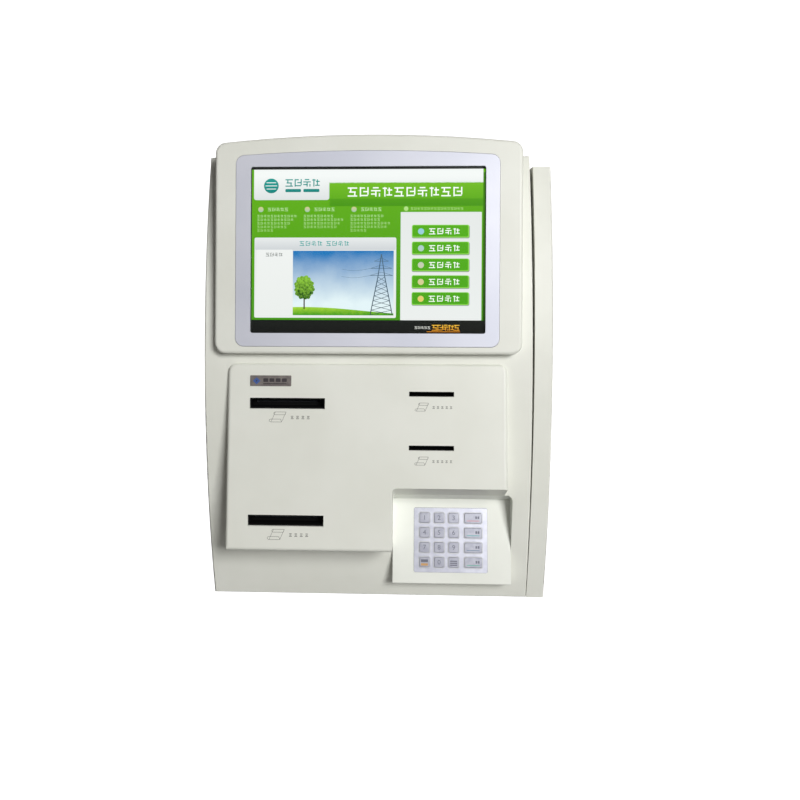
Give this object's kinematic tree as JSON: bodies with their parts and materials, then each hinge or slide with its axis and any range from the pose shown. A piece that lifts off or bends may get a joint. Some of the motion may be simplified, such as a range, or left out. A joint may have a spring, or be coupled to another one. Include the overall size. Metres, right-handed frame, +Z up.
{
  "type": "wall-mounted payment terminal",
  "caption": "Wall-hung self-service payment terminal with a bowed hinged door, framed screen, card and receipt slots and a recessed metal keypad.",
  "frame": {"origin": "centre of the four wall bolts, on the back face of the cabinet", "axes": "+X to the right seen from the front, +Y into the wall, +Z up"},
  "size_m": [0.4583, 0.2257, 0.613],
  "materials": {
    "ivory_powder_coat": "ivory textured powder coat",
    "ivory_moulding": "ivory moulded plastic, fine grain",
    "silver_paint": "satin silver paint",
    "screen_glass": "clear touch glass",
    "display_body": "black display housing",
    "zinc_steel": "zinc-plated steel",
    "key_steel": "satin stainless steel",
    "badge_metal": "dark brushed plate",
    "black_plastic": "black moulded plastic",
    "grey_plastic": "grey moulded plastic",
    "smoke_lid": "smoked plastic lid",
    "paper": "white thermal paper",
    "black_aluminium": "black anodised aluminium",
    "chrome": "chromed zinc casting",
    "foam_rubber": "black closed-cell foam",
    "rocker_red": "red gloss plastic"
  },
  "bodies": {
    "cabinet": {"cabinet_shell": "ivory_powder_coat", "upper_wall_rail": "zinc_steel", "lower_wall_rail": "zinc_steel", "side_cheek": "ivory_powder_coat", "door_seal": "foam_rubber", "control_computer": "black_aluminium", "power_supply": "zinc_steel", "fan_frame": "black_plastic", "power_inlet": "black_plastic", "lock_barrel": "chrome", "hinge_frame_screws": "zinc_steel", "upper_hinge_frame_leaf": "zinc_steel", "lower_hinge_frame_leaf": "zinc_steel", "upper_hinge_pin": "zinc_steel", "lower_hinge_pin": "zinc_steel"},
    "door": {"door_fascia": "ivory_powder_coat", "door_strike": "zinc_steel", "hinge_door_screws": "zinc_steel", "screen_surround": "ivory_powder_coat", "screen_trim": "silver_paint", "touch_glass": "screen_glass", "display_panel": "display_body", "display_clamp": "zinc_steel", "display_screws": "zinc_steel", "lower_panel": "ivory_powder_coat", "badge_plate": "badge_metal", "keypad_housing": "ivory_moulding", "keypad_plate": "key_steel", "keypad_base": "black_plastic", "upper_hinge_door_leaf": "zinc_steel", "lower_hinge_door_leaf": "zinc_steel", "invoice_paper_guide": "black_plastic", "receipt_paper_guide": "black_plastic", "invoice_printer": "grey_plastic", "receipt_printer": "grey_plastic", "upper_card_reader": "black_plastic", "lower_card_reader": "black_plastic"},
    "fan": {"fan_rotor": "black_plastic"},
    "rocker": {"power_rocker": "rocker_red"},
    "lock": {"lock_cam": "chrome"},
    "invoice_lid": {"invoice_printer_lid": "smoke_lid"},
    "receipt_lid": {"receipt_printer_lid": "smoke_lid"},
    "invoice_roll": {"invoice_paper_roll": "paper"},
    "receipt_roll": {"receipt_paper_roll": "paper"},
    "button_1": {"key_1": "key_steel"},
    "button_2": {"key_2": "key_steel"},
    "button_3": {"key_3": "key_steel"},
    "button_cancel": {"key_cancel": "key_steel"},
    "button_4": {"key_4": "key_steel"},
    "button_5": {"key_5": "key_steel"},
    "button_6": {"key_6": "key_steel"},
    "button_correct": {"key_correct": "key_steel"},
    "button_7": {"key_7": "key_steel"},
    "button_8": {"key_8": "key_steel"},
    "button_9": {"key_9": "key_steel"},
    "button_help": {"key_help": "key_steel"},
    "button_clear": {"key_clear": "key_steel"},
    "button_0": {"key_0": "key_steel"},
    "button_blank": {"key_blank": "key_steel"},
    "button_enter": {"key_enter": "key_steel"}
  },
  "joints": [
    {"name": "door_hinge", "type": "hinge", "parent": "cabinet", "child": "door", "pos_m": [-0.2285, -0.08925, 0], "axis": [0, 0, -1], "range_deg": [0, 110]},
    {"name": "lock_turn", "type": "hinge", "parent": "cabinet", "child": "lock", "pos_m": [0.2, -0.062, -0.05], "axis": [-1, 0, 0], "range_deg": [0, 90]},
    {"name": "fan_spin", "type": "hinge", "parent": "cabinet", "child": "fan", "pos_m": [-0.215, -0.044, 0.235], "axis": [1, 0, 0], "continuous": true},
    {"name": "rocker_tilt", "type": "hinge", "parent": "cabinet", "child": "rocker", "pos_m": [0.137, -0.044, -0.299], "axis": [1, 0, 0], "range_deg": [0, 14]},
    {"name": "invoice_lid_hinge", "type": "hinge", "parent": "door", "child": "invoice_lid", "pos_m": [-0.1143, -0.10207, -0.0146], "axis": [-1, 0, 0], "range_deg": [0, 90]},
    {"name": "invoice_roll_spin", "type": "hinge", "parent": "door", "child": "invoice_roll", "pos_m": [-0.1143, -0.12457, -0.0354], "axis": [1, 0, 0], "continuous": true},
    {"name": "receipt_lid_hinge", "type": "hinge", "parent": "door", "child": "receipt_lid", "pos_m": [-0.1143, -0.13165, -0.16], "axis": [-1, 0, 0], "range_deg": [0, 90]},
    {"name": "receipt_roll_spin", "type": "hinge", "parent": "door", "child": "receipt_roll", "pos_m": [-0.1143, -0.15415, -0.1808], "axis": [1, 0, 0], "continuous": true},
    {"name": "press_1", "type": "slide", "parent": "door", "child": "button_1", "axis": [0, 0.9641, -0.2656], "range_m": [0, 0.0015], "stiffness_N_per_m": 600, "springref_m": -0.001},
    {"name": "press_2", "type": "slide", "parent": "door", "child": "button_2", "axis": [0, 0.9641, -0.2656], "range_m": [0, 0.0015], "stiffness_N_per_m": 600, "springref_m": -0.001},
    {"name": "press_3", "type": "slide", "parent": "door", "child": "button_3", "axis": [0, 0.9641, -0.2656], "range_m": [0, 0.0015], "stiffness_N_per_m": 600, "springref_m": -0.001},
    {"name": "press_cancel", "type": "slide", "parent": "door", "child": "button_cancel", "axis": [0, 0.9641, -0.2656], "range_m": [0, 0.0015], "stiffness_N_per_m": 600, "springref_m": -0.001},
    {"name": "press_4", "type": "slide", "parent": "door", "child": "button_4", "axis": [0, 0.9641, -0.2656], "range_m": [0, 0.0015], "stiffness_N_per_m": 600, "springref_m": -0.001},
    {"name": "press_5", "type": "slide", "parent": "door", "child": "button_5", "axis": [0, 0.9641, -0.2656], "range_m": [0, 0.0015], "stiffness_N_per_m": 600, "springref_m": -0.001},
    {"name": "press_6", "type": "slide", "parent": "door", "child": "button_6", "axis": [0, 0.9641, -0.2656], "range_m": [0, 0.0015], "stiffness_N_per_m": 600, "springref_m": -0.001},
    {"name": "press_correct", "type": "slide", "parent": "door", "child": "button_correct", "axis": [0, 0.9641, -0.2656], "range_m": [0, 0.0015], "stiffness_N_per_m": 600, "springref_m": -0.001},
    {"name": "press_7", "type": "slide", "parent": "door", "child": "button_7", "axis": [0, 0.9641, -0.2656], "range_m": [0, 0.0015], "stiffness_N_per_m": 600, "springref_m": -0.001},
    {"name": "press_8", "type": "slide", "parent": "door", "child": "button_8", "axis": [0, 0.9641, -0.2656], "range_m": [0, 0.0015], "stiffness_N_per_m": 600, "springref_m": -0.001},
    {"name": "press_9", "type": "slide", "parent": "door", "child": "button_9", "axis": [0, 0.9641, -0.2656], "range_m": [0, 0.0015], "stiffness_N_per_m": 600, "springref_m": -0.001},
    {"name": "press_help", "type": "slide", "parent": "door", "child": "button_help", "axis": [0, 0.9641, -0.2656], "range_m": [0, 0.0015], "stiffness_N_per_m": 600, "springref_m": -0.001},
    {"name": "press_clear", "type": "slide", "parent": "door", "child": "button_clear", "axis": [0, 0.9641, -0.2656], "range_m": [0, 0.0015], "stiffness_N_per_m": 600, "springref_m": -0.001},
    {"name": "press_0", "type": "slide", "parent": "door", "child": "button_0", "axis": [0, 0.9641, -0.2656], "range_m": [0, 0.0015], "stiffness_N_per_m": 600, "springref_m": -0.001},
    {"name": "press_blank", "type": "slide", "parent": "door", "child": "button_blank", "axis": [0, 0.9641, -0.2656], "range_m": [0, 0.0015], "stiffness_N_per_m": 600, "springref_m": -0.001},
    {"name": "press_enter", "type": "slide", "parent": "door", "child": "button_enter", "axis": [0, 0.9641, -0.2656], "range_m": [0, 0.0015], "stiffness_N_per_m": 600, "springref_m": -0.001}
  ]
}
